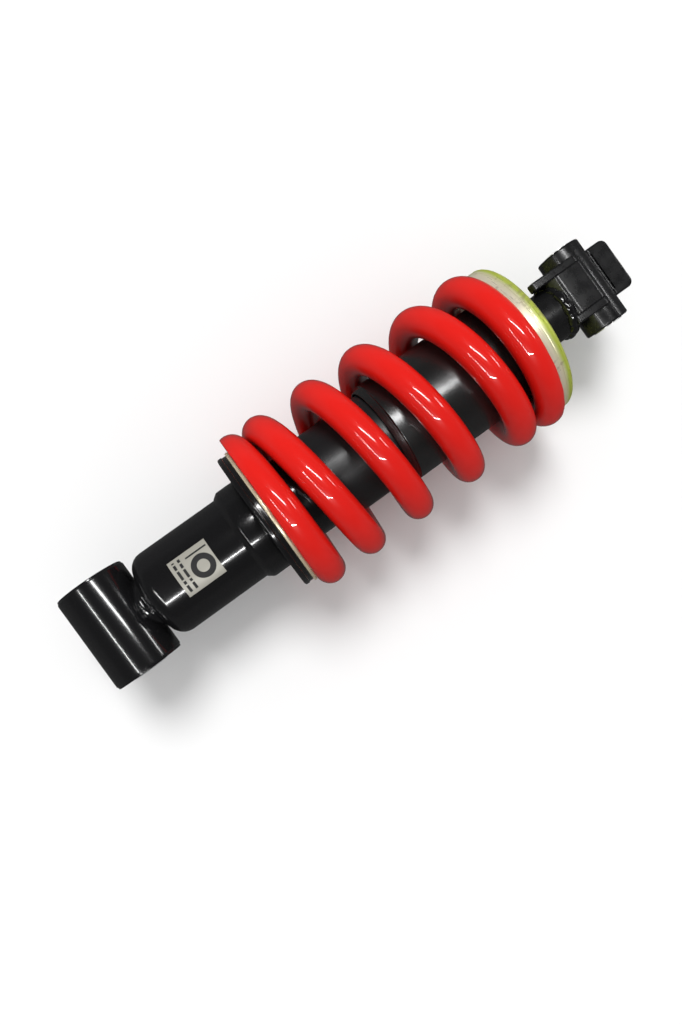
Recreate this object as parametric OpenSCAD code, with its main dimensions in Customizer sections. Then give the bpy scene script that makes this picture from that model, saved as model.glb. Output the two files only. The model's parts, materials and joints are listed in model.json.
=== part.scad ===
// Motorcycle rear shock absorber: coil spring over a gas-charged damper.
// Millimetres. The origin is the centre of the eye's bolt hole.
// +X runs along the damper from the eye to the pivot end, +Y along the eye's bolt, +Z up.

/* [Eye] */
// Outer diameter of the welded eye tube
eye_d = 32; // [26:0.5:40]
// Length of the eye tube along its bolt
eye_len = 45; // [36:0.5:56]
// Diameter of the bolt hole in the eye's inner sleeve
eye_bolt_d = 12.2; // [8.2:0.1:14.2]

/* [Damper] */
// Outer diameter of the damper tube
tube_d = 40; // [36:0.5:50]
// Wall thickness of the damper tube
tube_wall = 2.5; // [2:0.1:4]
// Place along X of the tube's closed end
tube_start = 17.5; // [16:0.5:24]
// Place along X of the tube's open end
tube_end = 140; // [130:1:150]
// Diameter of the chromed rod
rod_d = 14; // [10:0.5:18]
// Travel of the damper from full extension
stroke = 42; // [30:1:42]

/* [Spring] */
// Outer diameter of the coil spring
spring_d = 80; // [70:0.5:88]
// Diameter of the spring wire
wire_d = 13.6; // [10:0.2:14]
// Place along X of the spring's lower ground face
spring_start = 80.4; // [76:0.2:90]
// Fitted length of the spring between its seats
spring_len = 128.4; // [110:0.2:140]
// Advance per turn of the open coils
coil_pitch = 27.4; // [20:0.2:30]

/* [Seats] */
// Outer diameter of the lower spring seat
lower_seat_d = 66.4; // [56:0.2:76]
// Outer diameter of the upper spring seat
upper_seat_d = 72.4; // [66:0.2:80]
// Outer diameter of the dust sleeve
sleeve_d = 49.4; // [47:0.2:51]

/* [Pivot end] */
// Place along X of the pivot's bolt
pivot_x = 254; // [248:0.5:270]
// Outer diameter of the pivot tube
pivot_d = 20.4; // [18:0.2:26]
// Length of the pivot tube along its bolt
pivot_len = 40; // [34:0.2:50]
// Diameter of the bolt hole in the pivot's inner sleeve
pivot_bolt_d = 10.2; // [8.2:0.1:12.2]
// Width of the yoke across its side plates
yoke_w = 26.8; // [24:0.2:34]

/* [Hidden] */
$fn = 96;
fit_gap = 0.05;          // running clearance on a radius
rubber_d = eye_d - 7;    // the eye tube's bore
eye_sleeve_d = eye_bolt_d + 4.7;
eye_sleeve_len = eye_len + 1;
neck_r = 9.8;            // stub between eye and tube
neck_bead_r = 2.4;       // weld bead at the eye
stem_bead_r = 2.2;       // weld bead at the yoke
tube_r = tube_d / 2;
bore_r = tube_r - tube_wall;
tube_floor = 5.5;        // thickness of the tube's closed end
collar_x = 63.4;
collar_r = tube_r + 2.2;
seat_flange_x = 74.4;    // the lower seat's lower face
seat_flange_t = 4.4;
washer_t = 1.6;
hub_r = spring_d / 2 - wire_d - 0.8;
cap_x = 104;             // the pressed cap's mouth
cap_r = tube_r + 1.7;
cap_end = tube_end + 4;
rod_r = rod_d / 2;
spigot_r = 5;            // threaded end of the rod
piston_x = 98;
piston_t = 12;
shim_t = 2;
nut_t = 8;
guide_x = 122;
guide_t = 12;
guide_bush_wall = 0.8;
seal_t = 4.2;
circlip_t = 1.4;
float_x = 33;            // floating piston at full extension
float_t = 12;
float_ring_r = 1.8;
spring_end = spring_start + spring_len;
seat_t = 7.9;            // upper seat thickness
seat_back = spring_end + seat_t;
spigot_seat_r = 9;       // stem spigot inside the upper seat
sleeve_r = sleeve_d / 2;
sleeve_in = cap_r + 1;
sleeve_x = 139.8;
bump_t = 16;
stem_x = seat_back + 0.1;
stem_r = 12.2;
pivot_y = 1.8;           // the pivot tube sits a little to one side of the rod
yoke_x = pivot_x - 16.5; // where the stem meets the yoke
yoke_y = 2.9;            // middle of the yoke, to the same side
yoke_in = 9.6;           // half width between the side plates
tongue_w = 25;
pivot_bore_r = 8;
pivot_sleeve_r = pivot_bolt_d / 2 + 1.9;
label_x = 33.4;
label_w = 18.3;
label_h = 16.5;

// Coil centre line: how far along X the wire has run after t turns.
// The end coils lie close and are ground flat, and the pitch eases in and out between them and the open coils.
turns_open = 5;          // turns between the two end coils
end_turns = 0.5;         // length of each ground end coil, in turns
end_grind = 1.8;         // how much of the wire is ground away where an end coil begins
end_dip = 26;            // how fast an end coil dips into its ground face
lead_pitch = 7;          // pitch where an end coil passes into the ease
coil_sag = 1.6;          // how far the middle coils lie towards the lower seat
sag_turns = 3;           // turns over which they do
coil_r = spring_d / 2 - wire_d / 2;
coil_inset = wire_d / 2 - end_grind;
coil_run = spring_len - 2 * coil_inset;
ease_lower = 1.0;        // turns over which the pitch opens at the lower seat
ease_upper = 2 * (turns_open * coil_pitch - coil_run) / (coil_pitch - lead_pitch) - ease_lower;
sag_start = (turns_open - sag_turns) / 2;
function ease_in(t, ease) = t >= ease
  ? lead_pitch * ease + (coil_pitch - lead_pitch) * ease / 2 + coil_pitch * (t - ease)
  : lead_pitch * t + (coil_pitch - lead_pitch) * ease * (pow(t / ease, 3) - pow(t / ease, 4) / 2);
function coil_from_end(t, ease) = t >= 0 ? ease_in(t, ease) : lead_pitch * t - end_dip * t * t;
function sag_at(t) = t <= sag_start || t >= sag_start + sag_turns ? 0
  : coil_sag * pow(sin(180 * (t - sag_start) / sag_turns), 2);
function coil_x(t) = (t <= turns_open / 2
  ? spring_start + coil_inset + coil_from_end(t, ease_lower)
  : spring_start + spring_len - coil_inset - coil_from_end(turns_open - t, ease_upper)) - sag_at(t);

// A solid of revolution about X, from a profile of [x, r] points.
module turned(points) rotate([90, 0, 90]) rotate_extrude() polygon([for (p = points) [p[1], p[0]]]);
module rod_x(x0, x1, r) translate([x0, 0, 0]) rotate([0, 90, 0]) cylinder(h = x1 - x0, r = r);
module rod_y(x, length, r) translate([x, length / 2, 0]) rotate([90, 0, 0]) cylinder(h = length, r = r);
module ring_x(x0, x1, r_out, r_in) difference() {
  rod_x(x0, x1, r_out);
  rod_x(x0 - 1, x1 + 1, r_in);
}
module ring_y(x, length, r_out, r_in) difference() {
  rod_y(x, length, r_out);
  rod_y(x, length + 2, r_in);
}

// A closed tube swept along a ring of points, each with its own frame vectors.
module swept_loop(points, r, sides) {
  n = len(points);
  verts = [for (i = [0:n - 1]) let (
      p = points[i],
      along = points[(i + 1) % n] - points[(i + n - 1) % n],
      out = [0, p[1], p[2]] / norm([0, p[1], p[2]]),
      side = cross(along / norm(along), out))
    for (k = [0:sides - 1]) p + r * (cos(360 * k / sides) * out + sin(360 * k / sides) * side)];
  faces = [for (i = [0:n - 1]) for (k = [0:sides - 1])
    let (a = i * sides + k, b = i * sides + (k + 1) % sides,
      c = ((i + 1) % n) * sides + (k + 1) % sides, d = ((i + 1) % n) * sides + k)
    [a, b, c, d]];
  polyhedron(points = verts, faces = faces, convexity = 6);
}

// ---------------------------------------------------------------- eye end

module eye_tube() color("black") {
  rim = 1.2;
  difference() {
    rotate([0, 0, 90]) turned([[-eye_len / 2, 0], [-eye_len / 2, eye_d / 2 - rim], [-eye_len / 2 + rim, eye_d / 2],
      [eye_len / 2 - rim, eye_d / 2], [eye_len / 2, eye_d / 2 - rim], [eye_len / 2, 0]]);
    rod_y(0, eye_len + 2, rubber_d / 2);
  }
}

module eye_rubber() color("dimgray") ring_y(0, eye_len - 1, rubber_d / 2, eye_sleeve_d / 2 + fit_gap);

module eye_sleeve() color("silver") ring_y(0, eye_sleeve_len, eye_sleeve_d / 2, eye_bolt_d / 2);

module eye_neck() color("black") difference() {
  rod_x(8, tube_start, neck_r);
  rod_y(0, eye_len, eye_d / 2);
}

// The bead follows the saddle line where the stub meets the eye tube.
module eye_weld() color("black") {
  steps = 48;
  path = [for (i = [0:steps - 1]) let (a = 360 * i / steps, y = neck_r * cos(a), z = neck_r * sin(a))
    [sqrt(pow(eye_d / 2, 2) - z * z) + 0.6, y, z]];
  swept_loop(path, neck_bead_r, 10);
}

// ---------------------------------------------------------------- damper body

module damper_tube() color("black") {
  round_r = 7;
  arc = [for (a = [0:15:90]) [tube_start + round_r * (1 - sin(a)), tube_r - round_r * (1 - cos(a))]];
  difference() {
    turned(concat([[tube_end, 0], [tube_end, tube_r]], arc, [[tube_start, 0]]));
    rod_x(tube_start + tube_floor, tube_end + 1, bore_r);
  }
}

module data_label() color("silver") intersection() {
  ring_x(label_x, label_x + label_w, tube_r + 0.2, tube_r);
  translate([label_x, -label_h / 2, 0]) cube([label_w, label_h, tube_d]);
}

module seat_collar() color("black") difference() {
  turned([[collar_x, 0], [collar_x, tube_r + 0.4], [collar_x + 1.4, collar_r - 0.7], [collar_x + 2.8, collar_r],
    [seat_flange_x, collar_r], [seat_flange_x, 0]]);
  rod_x(collar_x - 1, seat_flange_x + 1, tube_r);
}

module lower_seat() color("black") {
  flange_r = lower_seat_d / 2;
  hub_x = seat_flange_x + seat_flange_t;
  difference() {
    turned([[seat_flange_x, 0], [seat_flange_x, flange_r - 1], [seat_flange_x + 1, flange_r],
      [hub_x, flange_r], [hub_x, hub_r], [hub_x + 4, hub_r], [hub_x + 5, hub_r - 1], [hub_x + 5, 0]]);
    rod_x(seat_flange_x - 1, hub_x + 6, tube_r);
  }
}

module seat_washer() color("gold") ring_x(spring_start - washer_t, spring_start, lower_seat_d / 2 + 0.6, hub_r + 0.2);

// ---------------------------------------------------------------- spring

module coil_spring() color("red") {
  ring_step = 1 / 24;
  sides = 16;
  first = -end_turns;
  last = turns_open + end_turns;
  count = round((last - first) / ring_step);
  verts = [for (i = [0:count]) let (
      t = first + i * ring_step,
      a = 90 + 360 * t,
      rise = (coil_x(t + 0.01) - coil_x(t - 0.01)) / 0.02,
      along = [rise, -2 * PI * coil_r * sin(a), 2 * PI * coil_r * cos(a)],
      out = [0, cos(a), sin(a)],
      side = cross(along / norm(along), out))
    for (k = [0:sides - 1])
      [coil_x(t), coil_r * cos(a), coil_r * sin(a)]
        + wire_d / 2 * (cos(360 * k / sides) * out + sin(360 * k / sides) * side)];
  walls = [for (i = [0:count - 1]) for (k = [0:sides - 1])
    [i * sides + k, i * sides + (k + 1) % sides, (i + 1) * sides + (k + 1) % sides, (i + 1) * sides + k]];
  caps = [[for (k = [0:sides - 1]) sides - 1 - k], [for (k = [0:sides - 1]) count * sides + k]];
  intersection() {
    polyhedron(points = verts, faces = concat(walls, caps), convexity = 10);
    translate([spring_start, -spring_d, -spring_d]) cube([spring_len, 2 * spring_d, 2 * spring_d]);
  }
}

// ---------------------------------------------------------------- inside the tube

module float_piston() color("silver") difference() {
  rod_x(float_x, float_x + float_t, bore_r - 0.08);
  rod_x(float_x - 1, float_x + 5, bore_r - 6);
  translate([float_x + float_t / 2 + 1, 0, 0]) rotate([0, 90, 0]) rotate_extrude()
    translate([bore_r - fit_gap - float_ring_r, 0]) circle(r = float_ring_r);
}

module float_ring() color("dimgray") translate([float_x + float_t / 2 + 1, 0, 0]) rotate([0, 90, 0])
  rotate_extrude() translate([bore_r - fit_gap - float_ring_r, 0]) circle(r = float_ring_r);

module piston() color("silver") {
  ports = 6;
  difference() {
    ring_x(piston_x, piston_x + piston_t, bore_r - 0.5, spigot_r);
    ring_x(piston_x + 3, piston_x + piston_t - 3, bore_r, bore_r - 1.5);
    for (i = [0:ports - 1]) rotate([360 * i / ports, 0, 0]) translate([0, 11, 0])
      rod_x(piston_x - 1, piston_x + piston_t + 1, 1.8);
  }
}

module piston_band() color("tan") ring_x(piston_x + 3, piston_x + piston_t - 3, bore_r - fit_gap, bore_r - 1.5);

module shims_compression() color("silver") turned([[piston_x - shim_t, spigot_r], [piston_x - shim_t, 9], [piston_x - 0.6, 12], [piston_x - 0.6, 14],
    [piston_x, 14], [piston_x, spigot_r]]);

module shims_rebound() color("silver") turned([[piston_x + piston_t, spigot_r], [piston_x + piston_t, 14.5], [piston_x + piston_t + 0.6, 14.5],
    [piston_x + piston_t + 0.6, 12], [piston_x + piston_t + shim_t, 9.5], [piston_x + piston_t + shim_t, spigot_r]]);

module piston_nut() color("silver") difference() {
  translate([piston_x - shim_t - nut_t, 0, 0]) rotate([0, 90, 0]) cylinder(h = nut_t, r = 9.8, $fn = 6);
  rod_x(piston_x - shim_t - nut_t - 1, piston_x, spigot_r);
}

module damper_rod() color("gainsboro") union() {
  rod_x(piston_x - shim_t - nut_t, piston_x + piston_t + shim_t, spigot_r);
  rod_x(piston_x + piston_t + shim_t, stem_x + 6, rod_r);
}

module top_out_ring() color("dimgray")
  ring_x(guide_x - 7.3, guide_x - 0.3, rod_r + 5, rod_r);

module rod_guide() color("silver") difference() {
  ring_x(guide_x, guide_x + guide_t, bore_r, rod_r + fit_gap + guide_bush_wall);
  ring_x(guide_x + 5, guide_x + 7, bore_r + 1, bore_r - 2);
}

module guide_bush() color("goldenrod")
  ring_x(guide_x, guide_x + guide_t, rod_r + fit_gap + guide_bush_wall, rod_r + fit_gap);

module guide_ring() color("dimgray") translate([guide_x + 6, 0, 0]) rotate([0, 90, 0])
  rotate_extrude() translate([bore_r - 1, 0]) circle(r = 1);

module rod_seal() color("dimgray")
  ring_x(guide_x + guide_t, guide_x + guide_t + seal_t, bore_r, rod_r + fit_gap);

module seal_circlip() color("silver") {
  x0 = guide_x + guide_t + seal_t;
  difference() {
    ring_x(x0, x0 + circlip_t, bore_r, bore_r - 3);
    translate([x0 - 1, -4, 0]) cube([circlip_t + 2, 8, bore_r + 1]);
  }
}

module tube_cap() color("black") {
  difference() {
    turned([[cap_x, 0], [cap_x, cap_r - 0.4], [cap_x + 1, cap_r], [cap_end - 1.5, cap_r], [cap_end, cap_r - 1.5],
      [cap_end, 0]]);
    rod_x(cap_x - 1, tube_end, tube_r);
    rod_x(tube_end - 1, cap_end + 1, rod_r + 3);
  }
}

module rod_wiper() color("dimgray") difference() {
  turned([[tube_end, 0], [tube_end, rod_r + 3], [cap_end, rod_r + 3], [cap_end + 2, rod_r + 1.2], [cap_end + 2, 0]]);
  rod_x(tube_end - 1, cap_end + 3, rod_r + fit_gap);
}

// ---------------------------------------------------------------- upper seat and sleeve

module bump_stop() color("goldenrod") {
  x1 = spring_end - 4;
  difference() {
    turned([[x1 - bump_t, 0], [x1 - bump_t, 11], [x1 - 13, 15.5], [x1 - 10, 15.5], [x1 - 8.5, 13.5],
      [x1 - 7, 13.5], [x1 - 5.5, 16.5], [x1, 16.5], [x1, 0]]);
    rod_x(x1 - bump_t - 1, x1 + 1, rod_r);
  }
}

module dust_sleeve() color("black") difference() {
  turned([[sleeve_x, 0], [sleeve_x, sleeve_in + 0.5], [sleeve_x + 2.8, sleeve_r - 0.5], [sleeve_x + 3.3, sleeve_r],
    [spring_end - 0.2, sleeve_r], [spring_end - 0.2, 0]]);
  rod_x(sleeve_x - 1, spring_end, sleeve_in);
}

module upper_seat() color("khaki") {
  seat_r = upper_seat_d / 2;
  round_r = 3.4;
  arc = [for (a = [0:15:90]) [seat_back - round_r * (1 - sin(a)), seat_r - round_r * (1 - cos(a))]];
  difference() {
    turned(concat([[spring_end - 3, 0], [spring_end - 3, sleeve_in], [spring_end, sleeve_in],
      [spring_end, seat_r - 0.8], [spring_end + 0.8, seat_r]], arc, [[seat_back, 0]]));
    rod_x(spring_end - 4, seat_back + 1, spigot_seat_r + fit_gap);
  }
}

// ---------------------------------------------------------------- pivot end

module rod_stem() color("black") difference() {
  union() {
    rod_x(spring_end - 3, stem_x + 1, spigot_seat_r);
    turned([[stem_x, 0], [stem_x, stem_r - 0.8], [stem_x + 0.8, stem_r], [yoke_x, stem_r], [yoke_x, 0]]);
  }
  rod_x(spring_end - 4, stem_x + 6, rod_r);
}

module stem_weld() color("black") {
  steps = 40;
  path = [for (i = [0:steps - 1]) let (a = 360 * i / steps) [yoke_x, (stem_r - 0.4) * cos(a), (stem_r - 0.4) * sin(a)]];
  swept_loop(path, stem_bead_r, 10);
}

// Side outline of the forged yoke, seen along Y: a flat top, a fall, and a low tongue.
yoke_top = 12.2;
yoke_bottom = -11.5;
fall_x = pivot_x + 0.2;
tongue_x = pivot_x + 11.1;
tongue_end = pivot_x + 21.6;
tongue_top = 1.2;
tongue_bottom = -6;

module yoke() color("black") difference() {
  union() {
    translate([0, yoke_y + yoke_in, 0]) rotate([90, 0, 0]) linear_extrude(height = 2 * yoke_in)
      polygon([[yoke_x, -9.5], [yoke_x, 8.5], [yoke_x + 4, yoke_top], [fall_x, yoke_top], [tongue_x, tongue_top],
        [tongue_x + 1, tongue_top], [tongue_x + 1, tongue_bottom], [tongue_x - 5, yoke_bottom],
        [yoke_x + 2, yoke_bottom]]);
    translate([0, yoke_y, tongue_bottom]) linear_extrude(height = tongue_top - tongue_bottom)
      rounded_tongue();
  }
  rod_y(pivot_x, 2 * yoke_w, pivot_d / 2);
}

module rounded_tongue() {
  corner = 3;
  union() {
    translate([tongue_x, -tongue_w / 2]) square([tongue_end - corner - tongue_x, tongue_w]);
    translate([tongue_x, -tongue_w / 2 + corner]) square([tongue_end - tongue_x, tongue_w - 2 * corner]);
    for (s = [-1, 1]) translate([tongue_end - corner, s * (tongue_w / 2 - corner)]) circle(r = corner);
  }
}

// One side plate of the yoke, starting at x0, from y0 outwards; it follows the yoke's fall.
module yoke_plate(x0, y0) {
  t = yoke_w / 2 - yoke_in;
  corner = 3;
  top = yoke_top - 0.6;
  end = tongue_x - 0.2;
  difference() {
    translate([0, y0 + t, 0]) rotate([90, 0, 0]) linear_extrude(height = t)
      polygon([[x0, yoke_bottom + corner], [x0, top - corner], [x0 + corner * 0.3, top - corner * 0.3],
        [x0 + corner, top], [fall_x, top], [end, tongue_top - 0.2], [end, tongue_bottom],
        [end - 4.8, yoke_bottom], [x0 + corner, yoke_bottom]]);
    rod_y(pivot_x, 3 * yoke_w, pivot_d / 2);
  }
}

module yoke_plate_left() color("black") yoke_plate(pivot_x - 24, yoke_y + yoke_in);
module yoke_plate_right() color("black") yoke_plate(yoke_x, yoke_y - yoke_w / 2);

module pivot_tube() color("black") {
  rim = 0.9;
  difference() {
    translate([pivot_x, pivot_y, 0]) rotate([0, 0, 90])
      turned([[-pivot_len / 2, 0], [-pivot_len / 2, pivot_d / 2 - rim], [-pivot_len / 2 + rim, pivot_d / 2],
        [pivot_len / 2 - rim, pivot_d / 2], [pivot_len / 2, pivot_d / 2 - rim], [pivot_len / 2, 0]]);
    translate([0, pivot_y, 0]) rod_y(pivot_x, pivot_len + 2, pivot_bore_r);
  }
}

module pivot_bush() color("tan") translate([0, pivot_y, 0]) ring_y(pivot_x, pivot_len - 0.6, pivot_bore_r, pivot_sleeve_r + fit_gap);

module pivot_sleeve() color("silver") translate([0, pivot_y, 0]) ring_y(pivot_x, pivot_len + 0.8, pivot_sleeve_r, pivot_bolt_d / 2);

// ---------------------------------------------------------------- drawing

eye_tube();
eye_rubber();
eye_sleeve();
eye_neck();
eye_weld();
damper_tube();
data_label();
seat_collar();
lower_seat();
seat_washer();
coil_spring();
float_piston();
float_ring();
piston();
piston_band();
shims_compression();
shims_rebound();
piston_nut();
top_out_ring();
damper_rod();
rod_guide();
guide_bush();
guide_ring();
rod_seal();
seal_circlip();
tube_cap();
rod_wiper();
bump_stop();
dust_sleeve();
upper_seat();
rod_stem();
stem_weld();
yoke();
yoke_plate_left();
yoke_plate_right();
pivot_tube();
pivot_bush();
pivot_sleeve();
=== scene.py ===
"""Looks, camera and light for the rear shock absorber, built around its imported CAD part.

Sizes are in millimetres unless a name says otherwise, and the mesh builders turn them into metres.
+X runs along the damper from the eye to the pivot end, +Y along the eye's bolt, +Z up.
"""

import json
import math

import bpy
import numpy as np
from mathutils import Matrix, Vector, noise


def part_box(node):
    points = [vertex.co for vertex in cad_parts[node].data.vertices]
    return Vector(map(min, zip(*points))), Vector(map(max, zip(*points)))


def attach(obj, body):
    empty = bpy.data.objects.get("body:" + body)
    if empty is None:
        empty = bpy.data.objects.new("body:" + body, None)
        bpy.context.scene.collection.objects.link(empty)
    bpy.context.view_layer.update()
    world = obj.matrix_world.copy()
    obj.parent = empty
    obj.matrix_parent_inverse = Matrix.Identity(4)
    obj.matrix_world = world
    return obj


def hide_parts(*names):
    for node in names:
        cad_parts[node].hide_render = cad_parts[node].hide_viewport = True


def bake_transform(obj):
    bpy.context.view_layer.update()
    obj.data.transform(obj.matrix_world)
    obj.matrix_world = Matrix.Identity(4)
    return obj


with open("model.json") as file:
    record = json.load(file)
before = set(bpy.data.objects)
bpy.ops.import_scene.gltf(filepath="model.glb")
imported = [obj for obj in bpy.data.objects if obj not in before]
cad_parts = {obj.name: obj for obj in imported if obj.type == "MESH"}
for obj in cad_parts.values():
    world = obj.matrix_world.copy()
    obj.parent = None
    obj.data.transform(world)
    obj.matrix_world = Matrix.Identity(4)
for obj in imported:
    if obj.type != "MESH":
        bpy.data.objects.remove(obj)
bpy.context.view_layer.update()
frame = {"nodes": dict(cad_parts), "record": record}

MM = 0.001
AXES = {"X": (1, 0, 0), "Y": (0, 1, 0)}


# ------------------------------------------------------------------ sizes from the frame

def low(node):
    """A CAD node's lowest corner, in millimetres."""
    return np.array(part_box(node)[0]) / MM


def high(node):
    """A CAD node's highest corner, in millimetres."""
    return np.array(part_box(node)[1]) / MM


EYE_R = high("eye_tube")[2]
EYE_HALF = high("eye_tube")[1]
TUBE_R = high("damper_tube")[2]
TUBE_X = low("damper_tube")[0]
SPRING_X0 = low("coil_spring")[0]
SPRING_X1 = high("coil_spring")[0]
SPRING_R = 40.0
WIRE_R = 6.8
STEM_R = high("rod_stem")[2]
YOKE_X = high("rod_stem")[0]
PIVOT_X = (low("pivot_tube")[0] + high("pivot_tube")[0]) / 2
PIVOT_R = high("pivot_tube")[2]
PIVOT_Y = (low("pivot_tube")[1] + high("pivot_tube")[1]) / 2
PIVOT_HALF = high("pivot_tube")[1] - PIVOT_Y
NECK_R = high("eye_neck")[2]
GROUND_Z = -SPRING_R
FLOOR_DROP = 0.4  # keeps the floor clear of the spring's lowest point


# ------------------------------------------------------------------ materials

NOISE_SPREAD = (0.3, 0.7)  # where nearly all of a noise texture's values lie
MIX_COLOUR_A, MIX_COLOUR_B, MIX_COLOUR_OUT = 6, 7, 2  # the Mix node's colour sockets share their names with others


def shader(name, colour, rough, metal=0.0, coat=0.0, coat_rough=0.03, ior=1.5):
    """A Principled material with its even values set on the shader's own sockets."""
    material = bpy.data.materials.new(name)
    material.use_nodes = True
    bsdf = material.node_tree.nodes["Principled BSDF"]
    bsdf.inputs["Base Color"].default_value = (*colour, 1)
    bsdf.inputs["Roughness"].default_value = rough
    bsdf.inputs["Metallic"].default_value = metal
    bsdf.inputs["IOR"].default_value = ior
    bsdf.inputs["Coat Weight"].default_value = coat
    bsdf.inputs["Coat Roughness"].default_value = coat_rough
    return material


def add(material, kind, **values):
    """A new node in the material's tree, with its plain values set."""
    node = material.node_tree.nodes.new(kind)
    for key, value in values.items():
        if key in node.inputs:
            node.inputs[key].default_value = value
        else:
            setattr(node, key, value)
    return node


def link(material, source, out_name, target, in_name):
    material.node_tree.links.new(source.outputs[out_name], target.inputs[in_name])


def place(material, stretch):
    """Object coordinates in metres, stretched per axis, so that a grain can run one way."""
    coords = add(material, "ShaderNodeTexCoord")
    mapping = add(material, "ShaderNodeMapping", Scale=stretch)
    link(material, coords, "Object", mapping, "Vector")
    return mapping


def noise_at(material, scale, detail=3.0, stretch=(1, 1, 1), rough=0.5):
    texture = add(material, "ShaderNodeTexNoise", Scale=scale, Detail=detail, Roughness=rough)
    link(material, place(material, stretch), "Vector", texture, "Vector")
    return texture


def bump(material, texture, strength, distance):
    """Raises the surface by a texture; distance is in metres."""
    bsdf = material.node_tree.nodes["Principled BSDF"]
    node = add(material, "ShaderNodeBump", Strength=strength, Distance=distance)
    link(material, texture, texture.outputs[0].name, node, "Height")
    link(material, node, "Normal", bsdf, "Normal")


def set_stops(node, stops):
    """Gives a colour ramp its stops of (place, colour)."""
    elements = node.color_ramp.elements
    while len(elements) < len(stops):
        elements.new(0.5)
    for element, (at, colour) in zip(elements, stops):
        element.position = at
        element.color = (*colour, 1)


def ramp(material, texture, stops):
    """Turns a texture's value into a colour."""
    node = add(material, "ShaderNodeValToRGB")
    set_stops(node, stops)
    link(material, texture, texture.outputs[0].name, node, "Fac")
    return node


def vary_roughness(material, texture, low_value, high_value):
    """Roughness that follows a texture; it takes the place of the shader's even value."""
    bsdf = material.node_tree.nodes["Principled BSDF"]
    node = add(material, "ShaderNodeMapRange")
    node.inputs["To Min"].default_value = low_value
    node.inputs["To Max"].default_value = high_value
    node.inputs["From Min"].default_value, node.inputs["From Max"].default_value = NOISE_SPREAD
    link(material, texture, texture.outputs[0].name, node, "Value")
    link(material, node, "Result", bsdf, "Roughness")


def paint(name, colour, rough, coat, peel=0.35):
    """Sprayed paint: a gloss coat with a faint orange peel."""
    material = shader(name, colour, rough, coat=coat, coat_rough=0.04)
    bump(material, noise_at(material, 900, 2.0), peel, 0.00004)
    return material


def make_yoke_black():
    material = paint("black_yoke", (0.007, 0.007, 0.0075), 0.34, 0.1, peel=0.5)
    vary_roughness(material, noise_at(material, 240, 4.0), 0.22, 0.34)
    return material


def make_red():
    material = paint("red_gloss", (0.61, 0.0095, 0.006), 0.3, 1.0, peel=0.25)
    material.node_tree.nodes["Principled BSDF"].inputs["Specular IOR Level"].default_value = 0.12
    return material


def make_sleeve_black():
    material = shader("black_sleeve", (0.008, 0.008, 0.008), 0.26, ior=1.85)
    bump(material, noise_at(material, 500, 3.0), 0.35, 0.00006)
    return material


def make_cap_black():
    material = shader("black_satin", (0.01, 0.01, 0.011), 0.38, coat=0.1, coat_rough=0.2)
    bump(material, noise_at(material, 600, 3.0), 0.3, 0.00005)
    return material


def make_yellow_zinc():
    """Yellow chromate over zinc: silvery on the wall, lime towards the outer rim, with brown scuffs and faint
    turning marks."""
    rim_from, rim_to = 5.8, 1.0  # the tint turns lime between these distances from the outer face
    material = shader("yellow_zinc", (0.75, 0.78, 0.4), 0.36, metal=0.5)
    bsdf = material.node_tree.nodes["Principled BSDF"]
    coords = add(material, "ShaderNodeTexCoord")
    axis = add(material, "ShaderNodeSeparateXYZ")
    link(material, coords, "Object", axis, "Vector")
    along = add(material, "ShaderNodeMapRange")
    along.inputs["From Min"].default_value = (high("upper_seat")[0] - rim_from) * MM
    along.inputs["From Max"].default_value = (high("upper_seat")[0] - rim_to) * MM
    link(material, axis, "X", along, "Value")
    cloud = noise_at(material, 60, 4.0)
    mixed = add(material, "ShaderNodeMath", operation="ADD")
    # the cloud moves the tint's edge by up to a quarter of its width each way
    scaled = add(material, "ShaderNodeMath", operation="MULTIPLY_ADD")
    scaled.inputs[1].default_value = 0.5
    scaled.inputs[2].default_value = -0.25
    link(material, cloud, "Fac", scaled, 0)
    link(material, along, "Result", mixed, 0)
    link(material, scaled, "Value", mixed, 1)
    tint = ramp(material, mixed, [
        (0.0, (0.78, 0.72, 0.56)), (0.4, (0.74, 0.72, 0.46)), (0.75, (0.5, 0.6, 0.07)), (1.0, (0.56, 0.62, 0.12))])
    scuffs = noise_at(material, 75, 5.0, stretch=(1, 1.6, 1.6), rough=0.7)
    worn = ramp(material, scuffs, [(0.56, (0, 0, 0)), (0.68, (0.8, 0.8, 0.8))])
    blend = add(material, "ShaderNodeMix", data_type="RGBA")
    link(material, worn, "Color", blend, "Factor")
    link(material, tint, "Color", blend, MIX_COLOUR_A)
    blend.inputs[MIX_COLOUR_B].default_value = (0.3, 0.25, 0.15, 1)
    link(material, blend, MIX_COLOUR_OUT, bsdf, "Base Color")
    vary_roughness(material, noise_at(material, 90, 3.0, stretch=(12, 1, 1)), 0.24, 0.46)
    bump(material, noise_at(material, 300, 3.0, stretch=(6, 1, 1)), 0.2, 0.00005)
    return material


def make_gold_zinc():
    material = shader("gold_zinc", (0.84, 0.74, 0.52), 0.34, metal=0.5)
    vary_roughness(material, noise_at(material, 200, 3.0, stretch=(4, 1, 1)), 0.2, 0.4)
    return material


def make_label():
    material = shader("label_silver", (0.31, 0.3, 0.26), 0.4, metal=0.15)
    bump(material, noise_at(material, 700, 2.0), 0.15, 0.00003)
    return material


def make_rubber():
    material = shader("rubber", (0.018, 0.018, 0.018), 0.62)
    bump(material, noise_at(material, 900, 4.0), 0.4, 0.0001)
    return material


def make_zinc():
    material = shader("zinc", (0.62, 0.62, 0.6), 0.3, metal=1.0)
    vary_roughness(material, noise_at(material, 350, 3.0), 0.22, 0.4)
    return material


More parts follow.
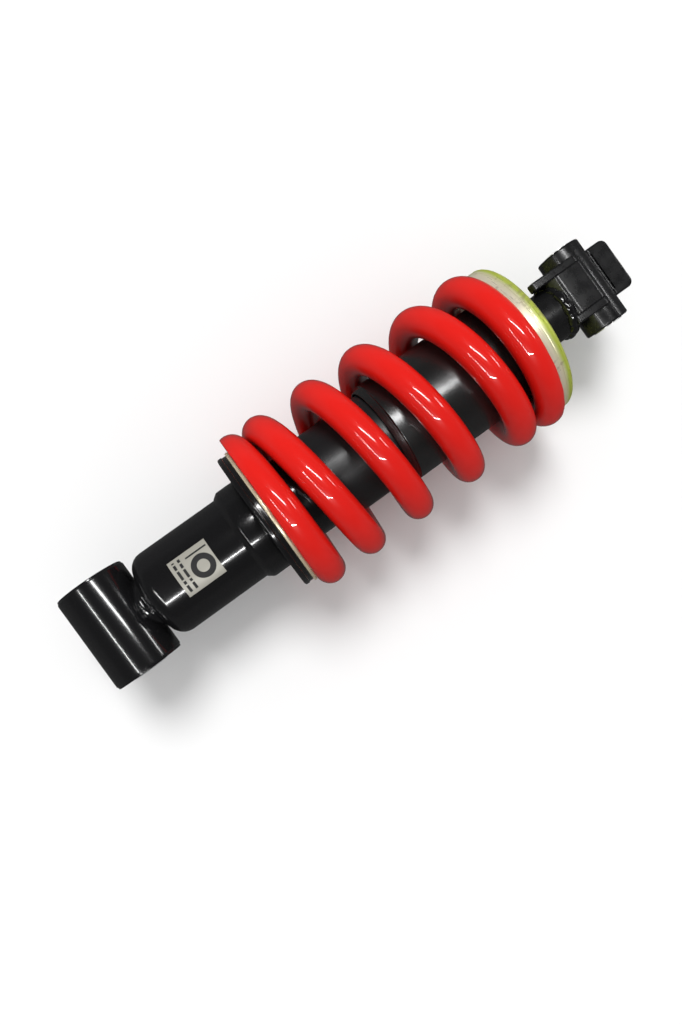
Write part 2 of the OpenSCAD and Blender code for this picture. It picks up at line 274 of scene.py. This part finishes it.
BLACK = paint("black_gloss", (0.006, 0.006, 0.0065), 0.16, 0.35)
YOKE_BLACK = make_yoke_black()
RED = make_red()
SLEEVE_BLACK = make_sleeve_black()
CAP_BLACK = make_cap_black()
YELLOW_ZINC = make_yellow_zinc()
GOLD_ZINC = make_gold_zinc()
LABEL = make_label()
PRINT = shader("label_print", (0.008, 0.008, 0.009), 0.7)
RUBBER = make_rubber()
ZINC = make_zinc()
CHROME = shader("chrome", (0.8, 0.8, 0.8), 0.08, metal=1.0)
ALLOY = shader("alloy", (0.75, 0.76, 0.77), 0.35, metal=1.0)
BRONZE = shader("bronze", (0.6, 0.42, 0.22), 0.35, metal=1.0)
BAND = shader("band", (0.3, 0.2, 0.12), 0.5)
FOAM = shader("foam", (0.5, 0.36, 0.09), 0.7)
SPRING_STEEL = shader("spring_steel", (0.5, 0.5, 0.5), 0.3, metal=1.0)

SLOT_MATERIAL = {
    "black_gloss": BLACK, "black_satin": CAP_BLACK, "black_yoke": YOKE_BLACK, "black_sleeve": SLEEVE_BLACK,
    "red_gloss": RED, "rubber": RUBBER, "foam": FOAM, "zinc": ZINC, "gold_zinc": GOLD_ZINC,
    "yellow_zinc": YELLOW_ZINC, "label": LABEL, "alloy": ALLOY, "spring_steel": SPRING_STEEL, "chrome": CHROME,
    "bronze": BRONZE, "band": BAND,
}
NODE_SLOT = {row["node"]: row["material_slot"] for row in frame["record"]["subparts"]}
NODE_BODY = {node: body for body, nodes in frame["record"]["behaviour"]["bodies"].items() for node in nodes}

for node_name, node_object in frame["nodes"].items():
    node_object.data.materials.clear()
    node_object.data.materials.append(SLOT_MATERIAL[NODE_SLOT[node_name]])


# ------------------------------------------------------------------ mesh builders

RIPPLE_RINGS = 12  # rings of points along one ripple of a weld bead
BEAD_SIDES = 20


def piece(name, verts, faces, material, sharp_deg=32):
    """A shaded mesh object from points in millimetres."""
    mesh = bpy.data.meshes.new(name)
    mesh.from_pydata((np.asarray(verts, float) * MM).tolist(), [], faces)
    mesh.validate()
    mesh.shade_smooth()
    mesh.set_sharp_from_angle(angle=math.radians(sharp_deg))
    mesh.materials.append(material)
    made = bpy.data.objects.new(name, mesh)
    bpy.context.scene.collection.objects.link(made)
    return made


def stands_for(made, node):
    """The piece rides on the node's body and is shown in its place."""
    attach(made, NODE_BODY[node])
    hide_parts(node)
    return made


def goes_with(made, node):
    """The piece rides on the node's body, beside the node."""
    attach(made, NODE_BODY[node])
    return made


def rounded(corners, arc_steps=6):
    """An outline of (along, radius, fillet) corners, each fillet turned into an arc."""
    points = []
    count = len(corners)
    for i, (x, y, fillet) in enumerate(corners):
        here = np.array([x, y], float)
        before = np.array(corners[i - 1][:2], float) - here
        after = np.array(corners[(i + 1) % count][:2], float) - here
        if fillet <= 0:
            points.append(here)
            continue
        a = before / np.linalg.norm(before)
        b = after / np.linalg.norm(after)
        half = math.acos(max(-1.0, min(1.0, float(a @ b)))) / 2
        cut = min(fillet / math.tan(half), 0.49 * np.linalg.norm(before), 0.49 * np.linalg.norm(after))
        radius = cut * math.tan(half)
        middle = here + (a + b) / np.linalg.norm(a + b) * radius / math.sin(half)
        start = here + a * cut - middle
        end = here + b * cut - middle
        turn = math.atan2(start[0] * end[1] - start[1] * end[0], start @ end)
        first = math.atan2(start[1], start[0])
        for k in range(arc_steps + 1):
            angle = first + turn * k / arc_steps
            points.append(middle + radius * np.array([math.cos(angle), math.sin(angle)]))
    return points


def lathe(name, corners, material, along="X", centre=(0, 0, 0), segments=192):
    """A closed outline of (along, radius, fillet) corners turned about an axis through centre."""
    outline = rounded(corners)
    axis = np.array(AXES[along], float)
    one = np.array([0, 0, 1], float)
    two = np.cross(axis, one)
    verts = []
    for k in range(segments):
        angle = 2 * math.pi * k / segments
        out = math.cos(angle) * one + math.sin(angle) * two
        verts += [np.array(centre) + axis * x + out * max(r, 0.0) for x, r in outline]
    n = len(outline)
    faces = []
    for k in range(segments):
        a = k * n
        b = (k + 1) % segments * n
        faces += [(a + i, a + (i + 1) % n, b + (i + 1) % n, b + i) for i in range(n)]
    return piece(name, verts, faces, material)


def slab(name, outline, depth_axis, depth_from, depth_to, material, bevel):
    """A flat outline pushed through a depth along Y or Z, with bevelled edges."""
    def corner(point, depth):
        return (point[0], depth, point[1]) if depth_axis == "Y" else (point[0], point[1], depth)

    n = len(outline)
    verts = [corner(p, depth_from) for p in outline] + [corner(p, depth_to) for p in outline]
    faces = [tuple(range(n)), tuple(range(2 * n - 1, n - 1, -1))]
    faces += [(i, i + n, (i + 1) % n + n, (i + 1) % n) for i in range(n)]
    made = piece(name, verts, faces, material)
    if depth_axis == "Y":
        made.data.flip_normals()
    edge = made.modifiers.new("edge", "BEVEL")
    edge.width = bevel * MM
    edge.segments = 3
    edge.limit_method = "ANGLE"
    edge.angle_limit = math.radians(25)
    edge.harden_normals = True
    return made


def weld_bead(name, path_point, radius, material, lumps, seed, relief):
    """A closed weld bead along path_point(angle): overlapping ripples, each a little uneven; relief scales them."""
    steps = lumps * RIPPLE_RINGS
    sides = BEAD_SIDES
    points = [np.array(path_point(2 * math.pi * i / steps)) for i in range(steps)]
    verts = []
    for i, point in enumerate(points):
        ahead = points[(i + 1) % steps] - points[i - 1]
        ahead /= np.linalg.norm(ahead)
        out = np.array([0.0, point[1], point[2]])
        out /= np.linalg.norm(out)
        side = np.cross(ahead, out)
        ripple = (i % RIPPLE_RINGS) / RIPPLE_RINGS
        lump = noise.noise(Vector((i / RIPPLE_RINGS * 0.55, seed, 0))) * 0.2
        swell = 1 + relief * (0.17 * math.sin(math.pi * ripple) ** 0.6 + lump - 0.08)
        for k in range(sides):
            angle = 2 * math.pi * k / sides
            grain = noise.noise(Vector((point[0] * 0.5, point[1] * 0.5, seed + k * 0.35))) * 0.08
            reach = radius * (swell + relief * grain)
            verts.append(point + reach * (math.cos(angle) * out + math.sin(angle) * side))
    faces = [(i * sides + k, i * sides + (k + 1) % sides, (i + 1) % steps * sides + (k + 1) % sides,
              (i + 1) % steps * sides + k) for i in range(steps) for k in range(sides)]
    return piece(name, verts, faces, material, sharp_deg=80)


def fused(name, parts, material, voxel, smooth):
    """Parts melted into one skin, as a weld runs into the metal beside it; voxel is in millimetres."""
    verts, faces = [], []
    for part in parts:
        start = len(verts)
        verts += [tuple(v.co / MM) for v in part.data.vertices]
        faces += [tuple(start + i for i in f.vertices) for f in part.data.polygons]
        bpy.data.objects.remove(part)
    rough = piece(name + "_rough", verts, faces, material)
    remesh = rough.modifiers.new("remesh", "REMESH")
    remesh.mode = "VOXEL"
    remesh.voxel_size = voxel * MM
    relax = rough.modifiers.new("relax", "SMOOTH")
    relax.factor = 0.5
    relax.iterations = smooth
    bpy.context.view_layer.update()
    done = rough.evaluated_get(bpy.context.evaluated_depsgraph_get())
    mesh = bpy.data.meshes.new_from_object(done)
    mesh.name = name
    mesh.shade_smooth()
    mesh.materials.clear()
    mesh.materials.append(material)
    made = bpy.data.objects.new(name, mesh)
    bpy.context.scene.collection.objects.link(made)
    bpy.data.objects.remove(rough)
    return made


# ------------------------------------------------------------------ eye end

def build_eye():
    """The welded eye with a turned groove near each end, its rubber and sleeve, and its stub to the damper."""
    groove_from, groove_to, groove_depth, rim_drop = 0.9, 1.3, 0.45, 0.5
    rubber_r = high("eye_rubber")[2]
    tube = lathe("eye_tube_turned", [
        (-EYE_HALF, EYE_R - rim_drop, 0.4), (-EYE_HALF + groove_from, EYE_R - groove_depth, 0.15),
        (-EYE_HALF + groove_to, EYE_R, 0.35), (EYE_HALF - groove_to, EYE_R, 0.35),
        (EYE_HALF - groove_from, EYE_R - groove_depth, 0.15), (EYE_HALF, EYE_R - rim_drop, 0.4),
        (EYE_HALF, rubber_r, 0.5), (-EYE_HALF, rubber_r, 0.5)], BLACK, along="Y")
    stands_for(tube, "eye_tube")
    sleeve_r = high("eye_sleeve")[2]
    sleeve_half = high("eye_sleeve")[1]
    rubber_half = high("eye_rubber")[1]
    rubber_middle = (rubber_r + sleeve_r) / 2
    hollow = 1.6  # how deep the rubber's end faces are dished
    rubber = lathe("eye_rubber_turned", [
        (-rubber_half, rubber_r - 0.02, 0.6), (rubber_half, rubber_r - 0.02, 0.6),
        (rubber_half - hollow, rubber_middle, 1.0),
        (rubber_half, sleeve_r + 0.06, 0.3), (-rubber_half, sleeve_r + 0.06, 0.3),
        (-rubber_half + hollow, rubber_middle, 1.0)], RUBBER, along="Y")
    stands_for(rubber, "eye_rubber")
    bolt_r = 6.1
    sleeve = lathe("eye_sleeve_turned", [
        (-sleeve_half, sleeve_r, 0.5), (sleeve_half, sleeve_r, 0.5), (sleeve_half, bolt_r, 0.5),
        (-sleeve_half, bolt_r, 0.5)], ZINC, along="Y")
    stands_for(sleeve, "eye_sleeve")
    saddle_r, saddle_lift = 9.6, 1.3
    shoulder_r, shoulder_in = 11.0, 1.0
    stub_bore = 6.0

    def saddle(angle):
        y = saddle_r * math.cos(angle)
        z = saddle_r * math.sin(angle)
        return (math.sqrt(EYE_R ** 2 - z * z) + saddle_lift, y, z)

    def shoulder(angle):
        return (TUBE_X + shoulder_in, shoulder_r * math.cos(angle), shoulder_r * math.sin(angle))

    stub = lathe("stub", [
        (EYE_R - 2.5, stub_bore, 0), (EYE_R - 2.5, NECK_R + 1.0, 0), (TUBE_X + 1.5, NECK_R + 1.4, 0),
        (TUBE_X + 1.5, stub_bore, 0)], BLACK)
    beads = [weld_bead("bead_eye", saddle, 2.6, BLACK, lumps=7, seed=3.1, relief=0.12),
             weld_bead("bead_tube", shoulder, 1.8, BLACK, lumps=13, seed=5.7, relief=0.4)]
    weld = fused("eye_weld_fused", [stub, *beads], BLACK, voxel=0.32, smooth=9)
    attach(weld, NODE_BODY["eye_weld"])
    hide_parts("eye_weld", "eye_neck")


# ------------------------------------------------------------------ damper body

def tube_patch(name, x0, x1, s0, s1, radius, material, rows=24):
    """A thin rectangle wrapped on the tube; s runs round it from the top, in millimetres."""
    columns = 4
    verts = []
    for i in range(columns + 1):
        for k in range(rows + 1):
            angle = (s0 + (s1 - s0) * k / rows) / TUBE_R
            verts.append((x0 + (x1 - x0) * i / columns, radius * math.sin(angle), radius * math.cos(angle)))
    n = rows + 1
    faces = [(i * n + k, i * n + k + 1, (i + 1) * n + k + 1, (i + 1) * n + k)
             for i in range(columns) for k in range(rows)]
    return piece(name, verts, faces, material)


def tube_ring(name, x, s, r_in, r_out, radius, material):
    """A flat ring wrapped on the tube about the point (x, s)."""
    shells, segments = 5, 48
    verts = []
    for j in range(shells + 1):
        r = r_in + (r_out - r_in) * j / shells
        for k in range(segments):
            turn = 2 * math.pi * k / segments
            angle = (s + r * math.sin(turn)) / TUBE_R
            verts.append((x + r * math.cos(turn), radius * math.sin(angle), radius * math.cos(angle)))
    faces = [(j * segments + k, (j + 1) * segments + k, (j + 1) * segments + (k + 1) % segments,
              j * segments + (k + 1) % segments) for j in range(shells) for k in range(segments)]
    return piece(name, verts, faces, material)


def build_label():
    """A silver sticker printed with a plain ring, a stripe and two columns of short bars."""
    bar_width, bar_gap, margin = 1.2, 0.7, 1.6
    x0, x1 = low("data_label")[0], high("data_label")[0]
    half = math.asin(high("data_label")[1] / TUBE_R) * TUBE_R
    base = tube_patch("label_sheet", x0, x1, -half, half, TUBE_R + 0.1, LABEL)
    stands_for(base, "data_label")
    ink_r = TUBE_R + 0.14
    inks = [tube_ring("label_ring", x0 + 12.2, -0.8, 2.7, 5.2, ink_r, PRINT),
            tube_patch("label_stripe", x0 + 7.6, x0 + 17.6, 5.4, 6.1, ink_r, PRINT)]
    for column, x in enumerate((x0 + 1.5, x0 + 4.2)):
        s = -half + margin
        for k, length in enumerate((3.2, 1.4, 4.0, 2.2, 1.8)):
            s_next = min(s + length - 0.2 * column, half - 1.2)
            inks.append(tube_patch(f"label_bar_{column}_{k}", x, x + bar_width, s, s_next, ink_r, PRINT, rows=8))
            s = s_next + bar_gap
    for ink in inks:
        goes_with(ink, "data_label")


def build_damper():
    """The damper tube with its rounded closed end, the collar, the lower seat, its washer and the pressed cap."""
    wall, end_wall, end_round = 2.5, 5.5, 7.0
    x1 = high("damper_tube")[0]
    tube = lathe("damper_tube_turned", [
        (TUBE_X, 0.0, 0), (TUBE_X, TUBE_R, end_round), (x1, TUBE_R, 0.4), (x1, TUBE_R - wall, 0.3),
        (TUBE_X + end_wall, TUBE_R - wall, 2.0), (TUBE_X + end_wall, 0.0, 0)], BLACK)
    stands_for(tube, "damper_tube")
    c0, c1 = low("seat_collar")[0], high("seat_collar")[0]
    collar_r = high("seat_collar")[2]
    flare = 2.6  # the length over which the collar widens
    collar = lathe("seat_collar_turned", [
        (c0, TUBE_R - 0.3, 0), (c0, TUBE_R + 0.3, 0.3), (c0 + flare, collar_r, 2.4), (c1, collar_r, 0.5),
        (c1, TUBE_R - 0.3, 0)], BLACK)
    stands_for(collar, "seat_collar")
    s0 = low("lower_seat")[0]
    seat_r = high("lower_seat")[2]
    hub_x = SPRING_X0 - 1.6
    hub_r = SPRING_R - 2 * WIRE_R - 0.8
    seat = lathe("lower_seat_turned", [
        (s0, TUBE_R, 0), (s0, collar_r + 1.0, 0), (s0 + 0.5, collar_r + 1.8, 0.4), (s0 + 0.5, seat_r - 2.6, 0.4),
        (s0, seat_r - 2.0, 0.4), (s0, seat_r, 1.0), (s0 + 2.2, seat_r, 0.4), (s0 + 2.4, seat_r - 0.35, 0.2),
        (hub_x, seat_r - 0.35, 0.5), (hub_x, hub_r, 0.4), (high("lower_seat")[0], hub_r, 1.0),
        (high("lower_seat")[0], TUBE_R, 0)], BLACK)
    stands_for(seat, "lower_seat")
    washer = lathe("seat_washer_turned", [
        (low("seat_washer")[0], high("seat_washer")[2], 0.5), (SPRING_X0, high("seat_washer")[2], 0.5),
        (SPRING_X0, hub_r + 0.2, 0.3), (low("seat_washer")[0], hub_r + 0.2, 0.3)], GOLD_ZINC)
    stands_for(washer, "seat_washer")
    cap0, cap1 = low("tube_cap")[0], high("tube_cap")[0]
    cap_r = high("tube_cap")[2]
    cap_bore, cap_wall = 10.2, 4
    cap = lathe("tube_cap_turned", [
        (cap0, TUBE_R, 0), (cap0, cap_r, 0.5), (cap1, cap_r, 1.8), (cap1, cap_bore, 0.4),
        (cap1 - cap_wall, cap_bore, 0), (cap1 - cap_wall, TUBE_R, 0)], CAP_BLACK)
    stands_for(cap, "tube_cap")


# ------------------------------------------------------------------ spring

COIL_PITCH = 27.4  # of the open coils, per turn
TURNS_OPEN = 5.0  # turns between the two closed ends
END_TURNS = 0.5  # turns of each closed end
END_GRIND = 1.8  # how much of the wire is ground flat at each end
END_DIP = 26.0  # how fast a closed end curls down to its seat
LEAD_PITCH = 7.0  # the pitch where a closed end starts to open
COIL_SAG = 1.6  # how far the middle coils lie towards the lower seat
SAG_TURNS = 3.0
COIL_INSET = WIRE_R - END_GRIND
COIL_RUN = SPRING_X1 - SPRING_X0 - 2 * COIL_INSET
EASE_LOWER = 1.0  # turns over which the pitch opens; the upper end's share makes the two ends meet
EASE_UPPER = 2 * (TURNS_OPEN * COIL_PITCH - COIL_RUN) / (COIL_PITCH - LEAD_PITCH) - EASE_LOWER


def from_end(t, ease):
    """How far the wire has run t turns after a closed end coil, or before it where t is negative."""
    if t < 0:
        return LEAD_PITCH * t - END_DIP * t * t
    u = min(t / ease, 1.0)
    eased = LEAD_PITCH * min(t, ease) + (COIL_PITCH - LEAD_PITCH) * ease * (u ** 3 - u ** 4 / 2)
    return eased + COIL_PITCH * max(t - ease, 0.0)


def coil_x(t):
    """The wire's place along X; the middle coils lie a little towards the lower seat."""
    u = min(max((t - (TURNS_OPEN - SAG_TURNS) / 2) / SAG_TURNS, 0.0), 1.0)
    sag = COIL_SAG * math.sin(math.pi * u) ** 2
    if t <= TURNS_OPEN / 2:
        return SPRING_X0 + COIL_INSET + from_end(t, EASE_LOWER) - sag
    return SPRING_X1 - COIL_INSET - from_end(TURNS_OPEN - t, EASE_UPPER) - sag


def build_spring():
    """The red coil spring. Each ring of the wire follows the seats by the free gap passed so far, so that no
    turn runs into the next."""
    per_turn, sides = 120, 56
    step = 0.01  # turns, for the wire's slope
    clear = 0.02  # keeps the ground faces just off the seats
    coil_r = SPRING_R - WIRE_R
    first, last = -END_TURNS, TURNS_OPEN + END_TURNS
    count = round((last - first) * per_turn)
    turns = np.linspace(first, last, count + 1)
    verts = []
    for t in turns:
        angle = math.pi / 2 + 2 * math.pi * t
        rise = (coil_x(t + step) - coil_x(t - step)) / (2 * step)
        along = np.array([rise, -2 * math.pi * coil_r * math.sin(angle), 2 * math.pi * coil_r * math.cos(angle)])
        along /= np.linalg.norm(along)
        out = np.array([0, math.cos(angle), math.sin(angle)])
        side = np.cross(along, out)
        centre = np.array([coil_x(t), coil_r * math.cos(angle), coil_r * math.sin(angle)])
        for k in range(sides):
            turn = 2 * math.pi * k / sides
            verts.append(centre + WIRE_R * (math.cos(turn) * out + math.sin(turn) * side))
    verts = np.array(verts)
    verts[:, 0] = np.clip(verts[:, 0], SPRING_X0 + clear, SPRING_X1 - clear)
    faces = [(i * sides + k, i * sides + (k + 1) % sides, (i + 1) * sides + (k + 1) % sides, (i + 1) * sides + k)
             for i in range(count) for k in range(sides)]
    faces += [tuple(range(sides - 1, -1, -1)), tuple(count * sides + k for k in range(sides))]
    spring = piece("spring_wire", verts, faces, RED, sharp_deg=24)
    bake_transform(spring)
    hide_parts("coil_spring")


# ------------------------------------------------------------------ upper seat, sleeve and stem

def build_upper_end():
    """The dust sleeve, the upper seat in yellow zinc, and the stem that passes through it."""
    s0, s1 = low("dust_sleeve")[0], high("dust_sleeve")[0]
    outer = high("dust_sleeve")[2]
    inner = high("tube_cap")[2] + 1
    sleeve = lathe("dust_sleeve_turned", [
        (s0, inner + 0.5, 0.25), (s0 + 2.9, outer - 0.4, 0.6), (s0 + 3.3, outer, 0.6), (s1, outer, 0.2),
        (s1, inner, 0.2), (s0, inner, 0.2)], SLEEVE_BLACK)
    stands_for(sleeve, "dust_sleeve")
    x0, x1 = SPRING_X1, high("upper_seat")[0]
    seat_r = high("upper_seat")[2]
    bore, spigot, dish = 9.05, 3, 0.7
    hub_x = x0 - spigot
    seat = lathe("upper_seat_turned", [
        (hub_x, bore, 0), (hub_x, inner - 0.1, 0.4), (x0, inner - 0.1, 0), (x0, seat_r - 0.2, 0.5),
        (x0 + 3.8, seat_r - 0.2, 0.25), (x0 + 4.1, seat_r, 0.4), (x1, seat_r, 3.0), (x1, STEM_R + 4.5, 0.6),
        (x1 - dish, STEM_R + 3.6, 0.5), (x1 - dish, bore, 0)], YELLOW_ZINC)
    stands_for(seat, "upper_seat")
    journal_r, journal_end, stem_bore, into_yoke = 9.0, x1 - 0.7, 7.0, 2
    stem = lathe("rod_stem_turned", [
        (hub_x, stem_bore, 0), (hub_x, journal_r, 0.3), (journal_end, journal_r, 0), (journal_end, STEM_R, 0.6),
        (YOKE_X + into_yoke, STEM_R, 0), (YOKE_X + into_yoke, stem_bore, 0)], YOKE_BLACK)
    stands_for(stem, "rod_stem")


# ------------------------------------------------------------------ pivot end

def build_yoke():
    """The forged yoke: a flat bridge that falls to a low tongue, between two side plates."""
    top, bottom = high("yoke")[2], low("yoke")[2]
    middle = (low("yoke")[1] + high("yoke")[1]) / 2
    fall_x = PIVOT_X + 0.2  # where the bridge starts to fall
    tongue_x = PIVOT_X + 11.1  # where it has reached the tongue
    tongue_end = high("yoke")[0]
    tongue_half = high("yoke")[1] - middle
    tongue_top, tongue_bottom = 1.2, -6.0
    inner = high("yoke_plate_right")[1]
    bridge = rounded([
        (YOKE_X, -9.5, 0), (YOKE_X, 8.5, 2.0), (YOKE_X + 4, top, 3.0), (fall_x, top, 2.6), (tongue_x, tongue_top, 3.0),
        (tongue_x + 2, tongue_top, 0), (tongue_x + 2, tongue_bottom, 0), (tongue_x - 5, bottom, 2.0),
        (YOKE_X + 2, bottom, 2.0)], arc_steps=5)
    overlap = 0.2  # the bridge runs this far into each plate
    block = slab("yoke_block", bridge, "Y", inner - overlap, 2 * middle - inner + overlap, YOKE_BLACK, 0.4)
    stands_for(block, "yoke")
    corner_r = 3.0
    outline = rounded([
        (tongue_x, middle - tongue_half, 0), (tongue_end, middle - tongue_half, corner_r),
        (tongue_end, middle + tongue_half, corner_r), (tongue_x, middle + tongue_half, 0)], arc_steps=8)
    tongue = slab("yoke_tongue", outline, "Z", tongue_bottom, tongue_top, YOKE_BLACK, 1.0)
    goes_with(tongue, "yoke")
    plate_end = tongue_x - 0.2
    # each plate's foot is cut back by its own length, and its top lies its own drop below the bridge
    for side, foot_cut, top_drop in (("left", 12.0, 1.4), ("right", 2.0, 0.1)):
        node = f"yoke_plate_{side}"
        x0 = low(node)[0]
        plate_top = top - top_drop
        outline = rounded([
            (x0 + foot_cut, bottom, 3), (x0, plate_top - 4, 2), (x0 + 0.6, plate_top, 1.5),
            (fall_x, plate_top, 2.5), (plate_end, tongue_top - 0.2, 3), (plate_end, tongue_bottom, 2),
            (plate_end - 4.8, bottom, 2)], arc_steps=6)
        plate = slab(f"{node}_cut", outline, "Y", low(node)[1], high(node)[1], YOKE_BLACK, 0.7)
        stands_for(plate, node)
    bore = high("pivot_bush")[2]
    tube = lathe("pivot_tube_turned", [
        (-PIVOT_HALF, PIVOT_R, 0.9), (PIVOT_HALF, PIVOT_R, 0.9), (PIVOT_HALF, bore, 0.3), (-PIVOT_HALF, bore, 0.3)],
        YOKE_BLACK, along="Y", centre=(PIVOT_X, PIVOT_Y, 0), segments=128)
    stands_for(tube, "pivot_tube")

    def stem_end(angle):
        r = STEM_R - 0.5
        return (YOKE_X + 0.2, r * math.cos(angle), r * math.sin(angle))

    weld = weld_bead("stem_weld_bead", stem_end, 2.0, BLACK, lumps=13, seed=8.4, relief=1.7)
    stands_for(weld, "stem_weld")


build_eye()
build_label()
build_damper()
build_spring()
build_upper_end()
build_yoke()


# ------------------------------------------------------------------ floor, light and camera

def build_floor():
    """A wide pale floor just under the spring; shiny surfaces don't mirror it."""
    mesh = bpy.data.meshes.new("floor")
    reach = 6.0  # metres
    z = (GROUND_Z - FLOOR_DROP) * MM
    corners = [(x * reach, y * reach, z) for x, y in ((-1, -1), (1, -1), (1, 1), (-1, 1))]
    mesh.from_pydata(corners, [], [(0, 1, 2, 3)])
    mesh.materials.append(shader("floor", (0.76, 0.76, 0.76), 0.9))
    floor = bpy.data.objects.new("floor", mesh)
    floor.visible_glossy = False
    bpy.context.scene.collection.objects.link(floor)


KEY_LEAN = (9, 29)
STRIP_TARGET = (0.13, 0, 0.02)  # metres
STRIPS = (
    # name, its two ends as leans, width and height in metres, watts
    ("thin_strip", (-40, 18), (-32, -31), 0.009, 0.5, 1.1),
    ("low_strip", (-31, -27), (-5, -27), 0.018, 0.6, 1.5),
    ("sleeve_streak", (1, 23), (19.5, 0), 0.07, 0.8, 3.3),
    ("bend_strip", (62, -14), (62, 10), 0.06, 0.5, 0.8),
)
ROOM_LIGHT = 0.76
# what shiny surfaces mirror, from straight down to straight up
STUDIO_GREYS = ((0.0, 0.07), (0.46, 0.09), (0.54, 0.1), (0.66, 0.05), (1.0, 0.025))


def leaning(lean):
    """An upward direction that leans towards +X and +Y by two angles in degrees."""
    return Vector((math.tan(math.radians(lean[0])), math.tan(math.radians(lean[1])), 1))


def strip_light(name, start, end, width, height, watts):
    """A bright strip above the part, seen only in reflections, between two directions given by their leans."""
    target = Vector(STRIP_TARGET)
    ends = [target + height * leaning(lean) for lean in (start, end)]
    middle = (ends[0] + ends[1]) / 2
    out = (middle - target).normalized()
    along = ends[1] - ends[0]
    along = (along - out * along.dot(out)).normalized()
    data = bpy.data.lights.new(name, "AREA")
    data.shape = "RECTANGLE"
    data.size = (ends[1] - ends[0]).length
    data.size_y = width
    data.energy = watts
    made = bpy.data.objects.new(name, data)
    made.location = middle
    made.rotation_mode = "QUATERNION"
    made.rotation_quaternion = Matrix((along, out.cross(along), out)).transposed().to_quaternion()
    made.visible_diffuse = False
    bpy.context.scene.collection.objects.link(made)


def key_light():
    """A broad sun that throws the soft shadow and stays out of the reflections."""
    sun = bpy.data.lights.new("key", "SUN")
    sun.energy = 2.3
    sun.angle = math.radians(24)
    key = bpy.data.objects.new("key", sun)
    key.rotation_mode = "QUATERNION"
    key.rotation_quaternion = leaning(KEY_LEAN).to_track_quat("Z", "Y")
    key.visible_glossy = False
    bpy.context.scene.collection.objects.link(key)


def build_world():
    """Reflections see a dark studio, the camera sees a white backdrop, and an even pale room lights the rest."""
    world = bpy.data.worlds.new("studio")
    bpy.context.scene.world = world
    world.use_nodes = True
    tree = world.node_tree
    wire = tree.links.new
    room = tree.nodes["Background"]
    room.inputs["Color"].default_value = (1, 1, 1, 1)
    room.inputs["Strength"].default_value = ROOM_LIGHT
    coords = tree.nodes.new("ShaderNodeTexCoord")
    axis = tree.nodes.new("ShaderNodeSeparateXYZ")
    scale = tree.nodes.new("ShaderNodeMapRange")
    scale.inputs["From Min"].default_value = -1
    shades = tree.nodes.new("ShaderNodeValToRGB")
    set_stops(shades, [(at, (grey, grey, grey)) for at, grey in STUDIO_GREYS])
    dark = tree.nodes.new("ShaderNodeBackground")
    rays = tree.nodes.new("ShaderNodeLightPath")
    lit = tree.nodes.new("ShaderNodeMixShader")
    wire(coords.outputs["Generated"], axis.inputs["Vector"])
    wire(axis.outputs["Z"], scale.inputs["Value"])
    wire(scale.outputs["Result"], shades.inputs["Fac"])
    wire(shades.outputs["Color"], dark.inputs["Color"])
    wire(rays.outputs["Is Glossy Ray"], lit.inputs["Fac"])
    wire(room.outputs["Background"], lit.inputs[1])
    wire(dark.outputs["Background"], lit.inputs[2])
    backdrop = tree.nodes.new("ShaderNodeBackground")
    backdrop.inputs["Color"].default_value = (0.98, 0.98, 0.98, 1)
    seen = tree.nodes.new("ShaderNodeMixShader")
    wire(rays.outputs["Is Camera Ray"], seen.inputs["Fac"])
    wire(lit.outputs["Shader"], seen.inputs[1])
    wire(backdrop.outputs["Background"], seen.inputs[2])
    wire(seen.outputs["Shader"], tree.nodes["World Output"].inputs["Surface"])


def build_camera():
    """The photograph's wide view from about 340 mm above the damper's axis, rolled so that the damper runs up to
    the right."""
    place_mm = (79.0, -11.0, 342.0)
    yaw, pitch, roll = (math.radians(a) for a in (-4.437, -0.88, -35.702))
    sensor, focal_share = 36, 0.761621  # millimetres, and the lens's length as a share of the sensor
    data = bpy.data.cameras.new("camera")
    data.sensor_width = sensor
    data.lens = sensor * focal_share
    data.clip_start = 0.01
    data.clip_end = 50
    made = bpy.data.objects.new("camera", data)
    turn = Matrix.Rotation(yaw, 3, "Y") @ Matrix.Rotation(pitch, 3, "X") @ Matrix.Rotation(roll, 3, "Z")
    made.rotation_mode = "QUATERNION"
    made.rotation_quaternion = turn.to_quaternion()
    made.location = Vector(place_mm) * MM
    bpy.context.scene.collection.objects.link(made)
    bpy.context.scene.camera = made


build_floor()
for strip in STRIPS:
    strip_light(*strip)
key_light()
build_world()
build_camera()
bpy.context.scene.view_settings.view_transform = "Standard"
